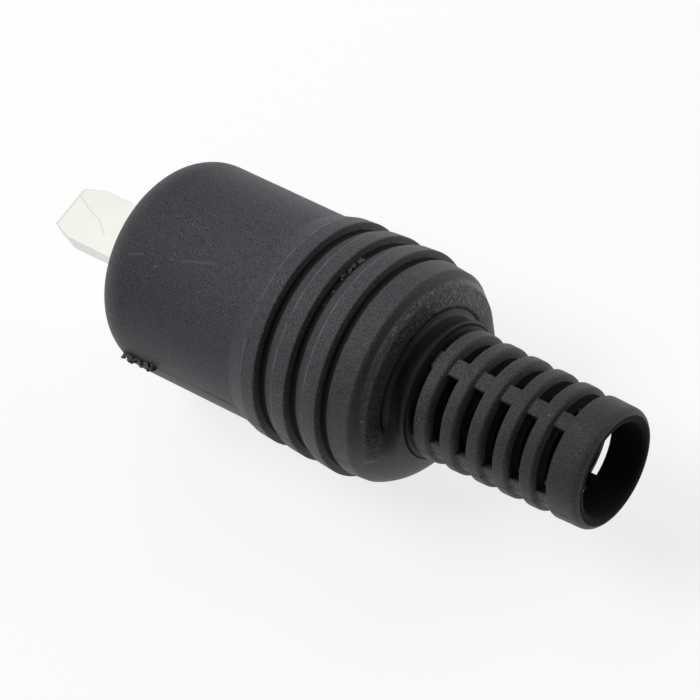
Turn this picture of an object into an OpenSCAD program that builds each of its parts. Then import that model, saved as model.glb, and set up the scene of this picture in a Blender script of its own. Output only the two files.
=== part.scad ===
// Loudspeaker plug with a flat blade and a round pin: a soft moulded hood, slipped over an
// insert that carries the two contacts and their screw terminals.
// The plug's axis is X. The contacts point to -X and the cable leaves at +X.
// The blade and the hood's mould parting lie in the XY plane, and the round pin is below it.
// The origin is on the axis, in the plane of the hood's front rim. All sizes are in millimetres.

/* [Contacts] */
// How far the blade stands out in front of the hood's rim
blade_reach = 9.3; // [7:0.1:12]
// Width of the blade
blade_w = 4.5; // [3.6:0.1:5.4]
// Thickness of the blade
blade_t = 1.3; // [1:0.05:1.6]
// Width of the blade at its tip
blade_tip_w = 3.2; // [2.8:0.05:3.6]
// Length of the narrowing behind the blade's tip
blade_nose_len = 1.9; // [1:0.1:2.4]
// Length of the bevel on both faces of the blade's end
blade_bevel_len = 0.3; // [0.2:0.05:0.9]
// Thickness that is left at the blade's end
blade_edge_t = 0.8; // [0.3:0.05:0.9]
// How far the round pin stands out in front of the hood's rim
pin_reach = 6.4; // [5:0.1:9]
// Diameter of the round pin
pin_d = 2.4; // [1.8:0.1:2.8]
// Diameter of the pin's stem inside the insert
pin_stem_d = 1.8; // [1.2:0.1:1.8]
// Distance of the round pin from the plug's axis
pin_offset = 4.6; // [4.2:0.1:5.4]

/* [Terminals] */
// Length of each terminal block
terminal_len = 6.5; // [5:0.1:9]
// Diameter of the hole for the wire
wire_d = 1.8; // [1.2:0.1:2.2]
// Depth of the hole for the wire
wire_depth = 5.4; // [4:0.1:5.8]
// Thickness of a terminal block's walls around the wire
terminal_wall = 0.75; // [0.6:0.05:0.9]
// Diameter of the terminal screw's shank
screw_d = 2; // [1.4:0.1:2.4]
// Diameter of the terminal screw's head
screw_head_d = 2.6; // [2.4:0.1:3]
// Height of the terminal screw's head
screw_head_h = 0.8; // [0.6:0.05:1]
// Gap under the screw's head while no wire is clamped
screw_gap = 0.5; // [0.3:0.05:0.6]
// Width of the driver slot in the screw's head
driver_slot_w = 0.5; // [0.3:0.05:0.7]
// Depth of the driver slot in the screw's head
driver_slot_depth = 0.4; // [0.2:0.05:0.5]

/* [Insert] */
// Thickness of the insert's front disc
insert_t = 3.6; // [2.6:0.1:5]
// How far the insert's face stands out in front of the hood's rim
face_proud = 0.1; // [0.05:0.05:0.5]
// Plastic that is left outside the round pin
insert_edge = 0.25; // [0.2:0.05:0.6]
// Chamfer around the insert's face
insert_chamfer = 0.3; // [0.1:0.05:0.5]
// Thickness of the divider between the two terminals
divider_t = 0.6; // [0.4:0.05:1]
// How far the divider reaches past the terminal blocks
divider_tail = 1.5; // [0.5:0.1:3]

/* [Hood] */
// Wall of the hood around the insert
hood_wall = 1.71; // [1.4:0.01:2.4]
// Radius of the hood's rounded front edge
front_round = 3; // [2.4:0.1:3.4]
// Width of the flat land on the hood's front rim
rim_land = 0.18; // [0.1:0.02:0.4]
// Length of the plain body, up to the first grip ring
plain_len = 12.57; // [11:0.01:16]
// Loss of radius along the plain body, the draft of its mould
body_draft = 0.08; // [0:0.01:0.15]
// Number of grip rings
ring_count = 3; // [1:1:5]
// Distance from one grip ring to the next
ring_pitch = 2.65; // [2.4:0.05:3.4]
// Height of a grip ring's front edge above the body
ring_front_h = 0.3; // [0.1:0.02:0.5]
// Height of a grip ring's rear edge above the body
ring_rear_h = 0.38; // [0.2:0.02:0.6]
// Length of the nearly level top of a grip ring
ring_top_len = 0.97; // [0.6:0.01:1.2]
// Depth of the groove behind a grip ring, below the body
groove_depth = 0.23; // [0.1:0.01:0.3]
// Width of that groove's floor
groove_floor = 0.3; // [0.2:0.05:0.5]
// Run of each of the groove's sloping walls along the axis
groove_slope = 0.3; // [0.2:0.02:0.4]
// Length of the smooth band behind the last groove
band_len = 1.38; // [1:0.02:3]
// Loss of radius along that band
band_drop = 0.12; // [0:0.01:0.3]

/* [Rear dome] */
// Length of the dome between the band and the strain relief
dome_len = 2.5; // [2.2:0.05:4]
// Radius of the dome's bulge
dome_round = 4.5; // [4:0.1:8]
// Length of the dome that is left in front of the scoop in its upper half
scoop_start = 1.2; // [0.6:0.05:1.4]
// Radius of the cove at the scoop's foot
scoop_cove = 0.7; // [0.3:0.05:1]
// Wall of the collar at the scoop's foot, around the cable
collar_wall = 1.65; // [1.5:0.05:2]
// Wall between the hood's cavity and the scoop
rear_wall = 1.8; // [1.2:0.1:2.5]

/* [Strain relief] */
// Diameter of the hole for the cable
cable_d = 6.6; // [5.6:0.1:7]
// Wall of the strain relief at its first ring
relief_wall = 1.36; // [1:0.02:1.45]
// Wall of the strain relief at its mouth
mouth_wall = 0.95; // [0.85:0.05:1.2]
// Number of rings between the slots
relief_rings = 5; // [3:1:7]
// Length of each ring along the axis
relief_ring_len = 1.05; // [0.8:0.05:1.5]
// Length of each slot along the axis
slot_len = 1.04; // [0.7:0.02:1.5]
// Loss of length on each side of a slot, from the outside to the hole for the cable
slot_taper = 0.12; // [0.02:0.01:0.15]
// Length of the slot next to the dome
first_slot_len = 0.45; // [0.4:0.05:1.2]
// Length of the plain collar between the dome and the first slot
collar_len = 0.37; // [0.1:0.01:1]
// Length of the unslotted mouth
mouth_len = 2.4; // [1.5:0.02:4]
// Width of the narrow tabs that bridge the slots at the top and the bottom
tab_w = 1.35; // [0.8:0.05:2]
// Width of the broad bridges along the parting plane
bridge_w = 2.1; // [1.4:0.05:3]
// How far the tabs and the bridges lie below the rings
tab_drop = 0.28; // [0.1:0.02:0.4]
// Radius of the mouth's outer edge
mouth_round = 0.45; // [0.2:0.05:0.5]
// Radius of the mouth's inner edge
lip_round = 0.35; // [0.15:0.05:0.4]

/* [Fits] */
// Radial clearance of the insert in the hood
insert_clearance = 0.05; // [0.02:0.01:0.1]
// Step in the hood's cavity that the insert's disc seats against
seat_step = 0.25; // [0.15:0.05:0.5]
// Room between the terminals and the hood's cavity
core_clearance = 0.3; // [0.2:0.05:0.5]
// Room between the divider and the terminal blocks
divider_clearance = 0.2; // [0.1:0.05:0.4]
// Radial clearance of a screw in its terminal block
screw_clearance = 0.05; // [0.02:0.01:0.1]

/* [Hidden] */

$fn = 64;
over = 1;

// Insert, from the round pin outwards
insert_r = pin_offset + pin_d / 2 + insert_edge;
face_x = -face_proud;
seat_x = face_x + insert_t;

// Hood around the insert
opening_r = insert_r + insert_clearance;
cavity_r = opening_r - seat_step;
core_r = cavity_r - core_clearance;
body_r = opening_r + hood_wall;
rim_r = opening_r + rim_land;
round_r = body_r - front_round;
round_x = sqrt(pow(front_round, 2) - pow(rim_r - round_r, 2));
ring_foot_r = body_r - body_draft;
ring_front_r = body_r + ring_front_h;
ring_rear_r = body_r + ring_rear_h;
groove_r = body_r - groove_depth;
rings_end = plain_len + ring_count * ring_pitch + groove_floor;
band_start = rings_end + groove_slope;
band_end = band_start + band_len;
band_r = body_r - band_drop;

// Dome and scoop
cable_r = cable_d / 2;
collar_r = cable_r + collar_wall;
dome_end = band_end + dome_len;
scoop_x = band_end + scoop_start;
cavity_end = scoop_x - rear_wall;
cavity_cone = cavity_r - cable_r;
dome_chord = [collar_r - band_r, dome_len];
dome_half = norm(dome_chord) / 2;
dome_sink = sqrt(pow(dome_round, 2) - pow(dome_half, 2));
dome_centre = [(band_r + collar_r) / 2, (band_end + dome_end) / 2]
    - dome_sink * [dome_chord[1], -dome_chord[0]] / norm(dome_chord);

// Strain relief
relief_r = cable_r + relief_wall;
mouth_r = cable_r + mouth_wall;
slots_start = dome_end + collar_len;
rings_start = slots_start + first_slot_len;
relief_pitch = relief_ring_len + slot_len;
mouth_start = rings_start + relief_rings * relief_pitch;
hood_end = mouth_start + mouth_len;
slot_places = concat(
    [[slots_start, rings_start]],
    [for (k = [1 : relief_rings]) [rings_start + k * relief_pitch - slot_len, rings_start + k * relief_pitch]]
);

// Terminals
terminal_w = wire_d + 2 * terminal_wall;
blade_wire_z = terminal_w / 2 - blade_t / 2;
pin_terminal_top = -blade_t / 2 - divider_t - 2 * divider_clearance;
pin_wire_z = pin_terminal_top - terminal_w / 2;
divider_z = (pin_terminal_top - blade_t / 2) / 2;
screw_x = seat_x + terminal_len - wire_depth / 2;
screw_head_y = terminal_w / 2 + screw_gap;

// Revolves a profile of [radius, x] points about the plug's axis. Angle 0 is at the bottom.
module turned(angle = 360, start = 0) {
    rotate([0, 90, 0])
        rotate([0, 0, start])
            rotate_extrude(angle = angle)
                children();
}

// Round bar along the plug's axis at a height z
module bar(x0, x1, r, z = 0) {
    translate([x0, 0, z])
        rotate([0, 90, 0])
            cylinder(r = r, h = x1 - x0);
}

// Box that is centred on the plug's axis in Y
module box(x0, x1, w, z0, z1) {
    translate([x0, -w / 2, z0])
        cube([x1 - x0, w, z1 - z0]);
}

// Points of one grip ring and of the groove behind it
function ring_points(groove_x) = [
    [ring_front_r, groove_x - groove_slope - ring_top_len],
    [ring_rear_r, groove_x - groove_slope],
    [groove_r, groove_x],
    [groove_r, groove_x + groove_floor],
    [body_r, groove_x + groove_floor + groove_slope]
];

// Outside of the hood from the front rounding to the dome
module body_profile() {
    polygon(concat(
        [[0, round_x], [body_r, round_x], [ring_foot_r, plain_len]],
        [for (k = [1 : ring_count]) each ring_points(plain_len + k * ring_pitch)],
        [[band_r, band_end], [0, band_end]]
    ));
}

// Front edge: a round that ends in a narrow flat land
module front_profile() {
    intersection() {
        union() {
            translate([round_r, round_x])
                circle(r = front_round);
            square([round_r, round_x]);
        }
        square([body_r, round_x]);
    }
}

// Dome: a cone from the band to the collar, with a round bulge on it
module dome_profile() {
    polygon([[0, band_end], [band_r, band_end], [collar_r, dome_end], [0, dome_end]]);
    intersection() {
        translate(dome_centre)
            circle(r = dome_round);
        translate([0, band_end])
            square([band_r, dome_len]);
    }
}

// Radius of the tapered strain relief
function relief_at(x) =
    relief_r + (mouth_r - relief_r) * (x - dome_end) / (hood_end - mouth_round - dome_end);

// Tapered strain relief with a rounded mouth, down to the tabs and bridges between its rings
module relief_profile() {
    round_back = mouth_r - mouth_round;
    translate([0, dome_end])
        square([collar_r, collar_len]);
    difference() {
        polygon([
            [0, dome_end], [relief_r, dome_end], [mouth_r, hood_end - mouth_round],
            [round_back, hood_end], [0, hood_end]
        ]);
        for (ends = slot_places)
            polygon([
                [relief_at(ends[0]) - tab_drop, ends[0]], [collar_r, ends[0]],
                [collar_r, ends[1]], [relief_at(ends[1]) - tab_drop, ends[1]]
            ]);
    }
    translate([round_back, hood_end - mouth_round])
        circle(r = mouth_round);
}

// Space inside the hood: the insert's seat, the cavity, its cone and the hole for the cable
module hollow_profile() {
    polygon([
        [0, -over], [opening_r, -over], [opening_r, seat_x], [cavity_r, seat_x],
        [cavity_r, cavity_end - cavity_cone], [cable_r, cavity_end],
        [cable_r, hood_end + over], [0, hood_end + over]
    ]);
    difference() {
        translate([0, hood_end - lip_round])
            square([cable_r + lip_round, lip_round + over]);
        translate([cable_r + lip_round, hood_end - lip_round])
            circle(r = lip_round);
    }
}

// Scoop in the upper half of the dome: a radial wall, a cove and the collar below it
module scoop_profile() {
    translate([collar_r, scoop_x])
        difference() {
            square([body_r, slots_start - scoop_x]);
            difference() {
                square(scoop_cove);
                translate([scoop_cove, scoop_cove])
                    circle(r = scoop_cove);
            }
        }
}

// One round of slots, which narrow towards the hole for the cable, between its tabs and bridges
module slots(x0, x1) {
    inner_r = cable_r - slot_taper;
    narrowing = slot_taper * (relief_r - inner_r) / relief_wall;
    difference() {
        turned()
            polygon([[relief_r, x0], [relief_r, x1], [inner_r, x1 - narrowing], [inner_r, x0 + narrowing]]);
        box(x0 - over, x1 + over, tab_w, -body_r, body_r);
        box(x0 - over, x1 + over, 2 * body_r, -bridge_w / 2, bridge_w / 2);
    }
}

module hood() {
    color([0.2, 0.2, 0.22])
        difference() {
            turned() {
                front_profile();
                body_profile();
                dome_profile();
                relief_profile();
            }
            turned()
                hollow_profile();
            turned(angle = 180, start = 90)
                scoop_profile();
            for (ends = slot_places)
                slots(ends[0], ends[1]);
        }
}

// Front disc, with its holes for the contacts, and the divider between the terminals
module insert() {
    color([0.09, 0.09, 0.1])
        difference() {
            union() {
                turned()
                    polygon([
                        [0, face_x], [insert_r - insert_chamfer, face_x],
                        [insert_r, face_x + insert_chamfer], [insert_r, seat_x], [0, seat_x]
                    ]);
                intersection() {
                    box(seat_x - over, seat_x + terminal_len + divider_tail, 2 * core_r,
                        divider_z - divider_t / 2, divider_z + divider_t / 2);
                    bar(face_x, hood_end, core_r);
                }
            }
            box(face_x - over, seat_x, blade_w, -blade_t / 2, blade_t / 2);
            bar(face_x - over, seat_x, pin_stem_d / 2, -pin_offset);
        }
}

// Terminal block behind the insert, with the holes for the wire and for the screw
module terminal(z) {
    rear_x = seat_x + terminal_len;
    difference() {
        box(seat_x, rear_x, terminal_w, z - terminal_w / 2, z + terminal_w / 2);
        bar(rear_x - wire_depth, rear_x + over, wire_d / 2, z);
        translate([screw_x, 0, z])
            rotate([-90, 0, 0])
                cylinder(r = screw_d / 2 + screw_clearance, h = terminal_w);
    }
}

module blade_contact() {
    color([0.78, 0.77, 0.72]) {
        intersection() {
            translate([0, 0, -blade_t])
                linear_extrude(2 * blade_t)
                    polygon([
                        [-blade_reach, -blade_tip_w / 2], [blade_nose_len - blade_reach, -blade_w / 2],
                        [seat_x, -blade_w / 2], [seat_x, blade_w / 2],
                        [blade_nose_len - blade_reach, blade_w / 2], [-blade_reach, blade_tip_w / 2]
                    ]);
            translate([0, blade_w, 0])
                rotate([90, 0, 0])
                    linear_extrude(2 * blade_w)
                        polygon([
                            [-blade_reach, -blade_edge_t / 2], [blade_bevel_len - blade_reach, -blade_t / 2],
                            [seat_x, -blade_t / 2], [seat_x, blade_t / 2],
                            [blade_bevel_len - blade_reach, blade_t / 2], [-blade_reach, blade_edge_t / 2]
                        ]);
        }
        terminal(blade_wire_z);
    }
}

// Round pin with a domed tip. Its shoulder sits on the insert's face and its stem passes through.
module pin_contact() {
    pin_r = pin_d / 2;
    color([0.78, 0.77, 0.72]) {
        bar(pin_r - pin_reach, face_x, pin_r, -pin_offset);
        translate([pin_r - pin_reach, 0, -pin_offset])
            sphere(r = pin_r);
        bar(face_x, seat_x, pin_stem_d / 2, -pin_offset);
        terminal(pin_wire_z);
    }
}

// Slotted cheese-head screw. It points across the plug, with its head on the +Y side.
module terminal_screw(z) {
    shank_y = wire_d / 2;
    head_top = screw_head_y + screw_head_h;
    color([0.74, 0.75, 0.76])
        translate([screw_x, 0, z])
            rotate([-90, 0, 0])
                difference() {
                    union() {
                        translate([0, 0, shank_y])
                            cylinder(d = screw_d, h = screw_head_y - shank_y);
                        translate([0, 0, screw_head_y])
                            cylinder(d = screw_head_d, h = screw_head_h);
                    }
                    translate([-screw_head_d, -driver_slot_w / 2, head_top - driver_slot_depth])
                        cube([2 * screw_head_d, driver_slot_w, screw_head_h]);
                }
}

module blade_screw() {
    terminal_screw(blade_wire_z);
}

module pin_screw() {
    terminal_screw(pin_wire_z);
}

hood();
insert();
blade_contact();
pin_contact();
blade_screw();
pin_screw();
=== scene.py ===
# %% [markdown]
# # A loudspeaker plug
# The plug is a soft black hood, slipped over an insert that carries a flat blade and a round pin. Its
# solids are loaded as a fixed frame, in metres, and each piece below is modelled where its solid is. The
# plug's axis is X: the contacts point to -X, and a cable would leave at +X. The hood was moulded in two
# halves that part in the XY plane. The blade lies in that plane, and the round pin below it.

# %% Load the solids
import math
import random

import bmesh
import bpy
from mathutils import Matrix, Vector, noise


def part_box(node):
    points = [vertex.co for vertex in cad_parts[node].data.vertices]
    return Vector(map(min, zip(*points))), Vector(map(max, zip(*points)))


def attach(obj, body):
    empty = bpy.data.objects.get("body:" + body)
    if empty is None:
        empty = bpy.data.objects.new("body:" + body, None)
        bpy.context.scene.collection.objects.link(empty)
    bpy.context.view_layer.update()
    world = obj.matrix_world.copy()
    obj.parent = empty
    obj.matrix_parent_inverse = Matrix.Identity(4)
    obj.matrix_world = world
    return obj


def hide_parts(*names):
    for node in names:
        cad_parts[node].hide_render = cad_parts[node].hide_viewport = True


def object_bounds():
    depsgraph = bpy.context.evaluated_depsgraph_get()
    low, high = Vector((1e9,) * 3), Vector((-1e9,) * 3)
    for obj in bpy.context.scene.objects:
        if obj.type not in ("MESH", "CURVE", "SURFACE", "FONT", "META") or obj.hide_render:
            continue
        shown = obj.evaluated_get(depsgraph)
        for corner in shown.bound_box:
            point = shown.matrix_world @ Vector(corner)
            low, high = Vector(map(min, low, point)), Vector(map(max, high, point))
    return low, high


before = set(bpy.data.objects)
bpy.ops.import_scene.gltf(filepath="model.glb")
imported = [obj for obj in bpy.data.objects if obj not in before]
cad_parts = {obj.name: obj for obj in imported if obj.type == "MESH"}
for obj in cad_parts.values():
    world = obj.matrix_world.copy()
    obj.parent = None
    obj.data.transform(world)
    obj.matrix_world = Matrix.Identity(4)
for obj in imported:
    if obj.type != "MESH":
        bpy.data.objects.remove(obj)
solid_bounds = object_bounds()
mm = 0.001
print("solids:", sorted(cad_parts))

# %% [markdown]
# ## The camera
# The view is described by how the plug lies in the picture: its axis slopes down to the right, its cable
# end leans towards the camera, and the plug is turned a little about its own axis. Those three angles
# give the plug's own axes as the camera sees them, and the matrix with these rows turns the camera to
# match. A camera can also be moved by eye, but three angles are easier to correct, one at a time.

# %% Camera
slope = math.radians(25.69)
lean = math.radians(31)
roll = math.radians(21.7)
along = Vector((math.cos(lean) * math.cos(slope), -math.cos(lean) * math.sin(slope), math.sin(lean)))
towards = Vector((-math.sin(lean) * math.cos(slope), math.sin(lean) * math.sin(slope), math.cos(lean)))
aside = Vector((-math.sin(slope), -math.cos(slope), 0))
upward = math.cos(roll) * towards - math.sin(roll) * aside
view_turn = Matrix((along, upward.cross(along), upward))
camera_distance = 200 * mm
aim_on_axis = Vector((16.83 * mm, 0, 0))
aim_shift = Vector((0.070 * mm, 0.376 * mm, 0))
camera_place = aim_on_axis + view_turn @ (Vector((0, 0, camera_distance)) - aim_shift)

bpy.ops.object.select_all(action="DESELECT")
bpy.ops.object.camera_add()
camera = bpy.context.object
camera.data.lens = 152.1
camera.data.clip_start = 5 * mm
camera.matrix_world = Matrix.Translation(camera_place) @ view_turn.to_4x4()
bpy.context.scene.camera = camera
print("camera at", [round(value / mm, 1) for value in camera_place], "mm")

# %% [markdown]
# ## Helpers for node trees
# Every finish below is a tree of nodes. One helper adds a node, sets its options, and either links or
# sets each of its inputs, so that a material reads as a list of what it is made of. A second one starts
# a node group, for effects that several finishes share.

# %% Helpers for node trees
def add_node(tree, kind, inputs=None, **options):
    """Adds a node. An input that is given a socket is linked to it, and any other value is set."""
    made = tree.nodes.new(kind)
    for name, value in options.items():
        setattr(made, name, value)
    for name, value in (inputs or {}).items():
        if isinstance(value, bpy.types.NodeSocket):
            tree.links.new(value, made.inputs[name])
        else:
            made.inputs[name].default_value = value
    return made


def math_node(tree, operation, *values, clamp=False):
    """The result of one Math node."""
    made = add_node(tree, "ShaderNodeMath", dict(enumerate(values)), operation=operation, use_clamp=clamp)
    return made.outputs[0]


def vector_node(tree, operation, inputs, result="Vector"):
    """The result of one Vector Math node, its Vector or its Value."""
    return add_node(tree, "ShaderNodeVectorMath", inputs, operation=operation).outputs[result]


def new_material(name):
    """An empty material, its tree and its output node."""
    material = bpy.data.materials.new(name)
    material.use_nodes = True
    material.node_tree.nodes.clear()
    return material, material.node_tree, material.node_tree.nodes.new("ShaderNodeOutputMaterial")


def new_group(name, inputs, outputs, places=()):
    """A shader node group with a Vector input, more inputs for places and numbers, and number outputs."""
    tree = bpy.data.node_groups.new(name, "ShaderNodeTree")
    for socket_name in ("Vector", *places):
        tree.interface.new_socket(socket_name, in_out="INPUT", socket_type="NodeSocketVector")
    for socket_name in inputs:
        tree.interface.new_socket(socket_name, in_out="INPUT", socket_type="NodeSocketFloat")
    for socket_name in outputs:
        tree.interface.new_socket(socket_name, in_out="OUTPUT", socket_type="NodeSocketFloat")
    return tree, tree.nodes.new("NodeGroupInput").outputs, tree.nodes.new("NodeGroupOutput").inputs


print("helpers for node trees are ready")

# %% [markdown]
# ## The studio
# The plug lies on a white table between soft lamps, in a nearly dark room. The table glows a little for
# rays that come from the camera or from a reflection, so that it reads as white there, while its diffuse
# part still takes the plug's shadow. More lamp light would also make it white, but would wash out the
# plug.

# %% World and table
white = (1, 1, 1, 1)
room_light = 0.02
table_white = 0.34
table_glow = 0.78
table_size = 3.0


def seen_directly(tree):
    """1 for camera, glossy and transmission rays, 0 for the rays that carry diffuse light."""
    path = add_node(tree, "ShaderNodeLightPath").outputs
    mirrored = math_node(tree, "MAXIMUM", path["Is Glossy Ray"], path["Is Transmission Ray"])
    return math_node(tree, "MAXIMUM", path["Is Camera Ray"], mirrored)


world = bpy.data.worlds.new("studio_world")
world.use_nodes = True
tree = world.node_tree
tree.nodes.clear()
background = add_node(tree, "ShaderNodeBackground", {"Color": white, "Strength": room_light})
add_node(tree, "ShaderNodeOutputWorld", {"Surface": background.outputs[0]})
bpy.context.scene.world = world
bpy.context.scene.view_settings.view_transform = "Standard"

table_material, tree, output = new_material("table_white")
matte = add_node(tree, "ShaderNodeBsdfDiffuse", {"Color": (table_white, table_white, table_white, 1)})
glow_level = math_node(tree, "MULTIPLY", seen_directly(tree), table_glow)
glow = add_node(tree, "ShaderNodeEmission", {"Color": white, "Strength": glow_level})
both = add_node(tree, "ShaderNodeAddShader", {0: matte.outputs[0], 1: glow.outputs[0]})
tree.links.new(both.outputs[0], output.inputs["Surface"])

bpy.ops.mesh.primitive_plane_add(size=table_size, location=(0, 0, solid_bounds[0][2]))
table = bpy.context.object
table.name = "table"
table.data.materials.append(table_material)
print("table at z =", round(solid_bounds[0][2] / mm, 2), "mm")

# %% [markdown]
# The lamps are soft boxes, as in a product photographer's studio. The bright one ahead is the key, and
# three weaker ones lift the top, the far side and the near side. Each is an area lamp whose energy is
# worked out from its brightness and its area, so that its size can change while it looks equally bright.

# %% Lamps
def softbox(name, place, width, height, brightness):
    """An area lamp at a place, facing the middle of the plug, as bright as a white of that level."""
    bpy.ops.object.light_add(type="AREA", location=place)
    lamp = bpy.context.object
    lamp.name = name
    lamp.data.shape = "RECTANGLE"
    lamp.data.size = width
    lamp.data.size_y = height
    lamp.data.energy = brightness * math.pi * width * height
    lamp.rotation_euler = (aim_on_axis - Vector(place)).to_track_quat("-Z", "Y").to_euler()
    print(name, "gives", round(lamp.data.energy, 2), "W")


softbox("softbox_ahead", (-0.262, -0.110, 0.458), width=0.34, height=0.20, brightness=6.4)
softbox("softbox_behind", (-0.25, 0.26, 0.40), width=0.40, height=0.35, brightness=1.15)
softbox("softbox_side", (0.25, 0.45, 0.20), width=0.40, height=0.40, brightness=1.4)
softbox("softbox_near", (0.28, -0.32, 0.36), width=0.30, height=0.30, brightness=0.3)

# %% [markdown]
# ## Working by hand, in code
# Blender's edit-mode tools act on what is selected. These helpers start a piece, pick its vertices,
# edges or faces by their place, and move vertices by a rule where no tool gives the shape, as in
# sculpting.

# %% Helpers for modelling
def begin_edit():
    bpy.ops.object.mode_set(mode="EDIT")


def end_edit():
    bpy.ops.object.mode_set(mode="OBJECT")


def middle(element):
    """The middle of an edge or a face."""
    if isinstance(element, bmesh.types.BMEdge):
        return (element.verts[0].co + element.verts[1].co) / 2
    return element.calc_center_median()


def choose(kind, wanted):
    """Selects just the wanted elements of a kind, VERT, EDGE or FACE. Returns how many there are."""
    bpy.ops.mesh.select_mode(type=kind)
    bpy.ops.mesh.select_all(action="DESELECT")
    mesh = bmesh.from_edit_mesh(bpy.context.object.data)
    elements = {"VERT": mesh.verts, "EDGE": mesh.edges, "FACE": mesh.faces}[kind]
    chosen = [element for element in elements if wanted(element)]
    for element in chosen:
        element.select_set(True)
    bmesh.update_edit_mesh(bpy.context.object.data)
    return len(chosen)


def nudge(wanted, shift):
    """Moves each vertex for which wanted is true by its own shift."""
    mesh = bmesh.from_edit_mesh(bpy.context.object.data)
    for vertex in mesh.verts:
        if wanted(vertex.co):
            vertex.co += shift(vertex.co)
    bmesh.update_edit_mesh(bpy.context.object.data)


def pick(*pieces):
    """Selects just these pieces, and makes the last one active."""
    bpy.ops.object.select_all(action="DESELECT")
    for piece in pieces:
        piece.select_set(True)
    bpy.context.view_layer.objects.active = pieces[-1]


def radius_of(place):
    """Distance of a point from the plug's axis."""
    return math.hypot(place.y, place.z)


def outward(place):
    """Direction from the plug's axis to a point."""
    return Vector((0, place.y, place.z)).normalized()


print("helpers for modelling are ready")

# %% [markdown]
# ## The hood's outline
# The hood is a turned form, so it starts as half of its lengthwise section: the outside from the front
# rim to the mouth, and the inside back again. Corners are written as (place along the axis, radius,
# rounding), and arcs are put into them, because moulded plastic has no sharp corners. Joined cylinders
# would give the same steps, but not the roundings. The upper half of the mould has a scoop behind the
# grip rings, where the lower half has a dome, so there are two outlines that differ only there.

# %% Sizes of the hood
opening_r = 6.10
rim_r = 6.28
body_r = 7.81
front_round = 3.0
plain_len = 12.57
ring_foot_r = body_r - 0.08
ring_count = 3
ring_pitch = 2.65
ring_front_r = body_r + 0.30
ring_rear_r = body_r + 0.38
ring_top_len = 0.97
groove_r = body_r - 0.23
groove_floor = 0.40
groove_slope = 0.30
ring_rear_slope = 0.09
band_end = 22.5
band_r = body_r - 0.12
dome_end = 25.0
dome_round = 4.5
shoulder_x = 22.75
scoop_x = 23.7
collar_r = 4.95
cable_r = 3.30
seat_x = 3.5
cavity_r = 5.85
cavity_end = 21.9
slots_start = 25.37
rings_start = 25.82
relief_r = 4.66
mouth_r = 4.25
relief_rings = 5
relief_pitch = 2.09
slot_len = 1.04
hood_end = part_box("hood")[1].x / mm
slots = [(slots_start, rings_start)]
for number in range(1, relief_rings + 1):
    slot_end = rings_start + number * relief_pitch
    slots.append((slot_end - slot_len, slot_end))
print("hood:", round(hood_end, 2), "mm long with", len(slots), "rounds of slots")

# %% Helpers for outlines
arc_steps = 5
row_gap = 0.35
row_slack = 0.01
edge_row = 0.07


def rounded(corners):
    """Points of an outline, with an arc in each corner (x, radius, rounding)."""
    points = [Vector(corners[0][:2])]
    for before, corner, after in zip(corners, corners[1:], corners[2:]):
        here = Vector(corner[:2])
        rounding = corner[2]
        if rounding == 0:
            points.append(here)
            continue
        back = (Vector(before[:2]) - here).normalized()
        ahead = (Vector(after[:2]) - here).normalized()
        half_angle = back.angle(ahead) / 2
        reach = rounding / math.tan(half_angle)
        centre = here + (back + ahead).normalized() * rounding / math.sin(half_angle)
        first = here + back * reach - centre
        last = here + ahead * reach - centre
        points += [centre + rounding * first.slerp(last, step / arc_steps) for step in range(arc_steps + 1)]
    return points + [Vector(corners[-1][:2])]


def on_arc(centre, radius, angle):
    """The point of a circle at an angle, in degrees."""
    turn = math.radians(angle)
    return Vector(centre) + radius * Vector((math.cos(turn), math.sin(turn)))


def with_rows(points):
    """The same outline, with long straight stretches divided."""
    result = [points[0]]
    for here, there in zip(points, points[1:]):
        parts = max(1, math.ceil((there - here).length / row_gap - row_slack))
        result += [here.lerp(there, part / parts) for part in range(1, parts + 1)]
    return result


def beside(corner, other):
    """A point close to a corner, on the way to another. A row of points there keeps a soft edge narrow."""
    corner, other = Vector(corner), Vector(other)
    return corner + edge_row * (other - corner).normalized()


print("helpers for outlines are ready, with", arc_steps, "steps in each arc")

# %% Front and grip
rim_angle = 150
top_angle = 90
front_steps = 12
foot_round = 0.15
ring_front_round = 0.12
ring_rear_round = 0.10
groove_round = 0.08
slope_round = 0.3


def grip_corners():
    """Corners of the grip rings and of the groove behind each one."""
    corners = [(plain_len, ring_foot_r, foot_round)]
    for number in range(1, ring_count + 1):
        groove_x = plain_len + number * ring_pitch
        corners += [
            (groove_x - groove_slope - ring_top_len, ring_front_r, ring_front_round),
            (groove_x - ring_rear_slope, ring_rear_r, ring_rear_round),
            (groove_x, groove_r, groove_round),
            (groove_x + groove_floor, groove_r, groove_round),
            (groove_x + groove_floor + groove_slope, body_r, slope_round),
        ]
    return corners


front_centre = (math.sqrt(front_round**2 - (rim_r - body_r + front_round) ** 2), body_r - front_round)
front_points = []
for step in range(front_steps + 1):
    front_angle = rim_angle + (top_angle - rim_angle) * step / front_steps
    front_points.append(on_arc(front_centre, front_round, front_angle))
band_corner = (band_end, band_r)
band_start = grip_corners()[-1][:2]
band_row = (*beside(band_corner, band_start), 0)
grip_points = rounded([front_points[-1], *grip_corners(), band_row, band_corner])
print("front and grip:", len(front_points) + len(grip_points), "points")

# %% [markdown]
# The dome is an arc between the band behind the grip and the collar. The scoop leaves the same arc
# early, with a soft shoulder, and drops down a wall into a cove. The dome gets as many points as the
# scoop, with the same shares of its length between them, so that one can be folded into the other later.

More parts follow.
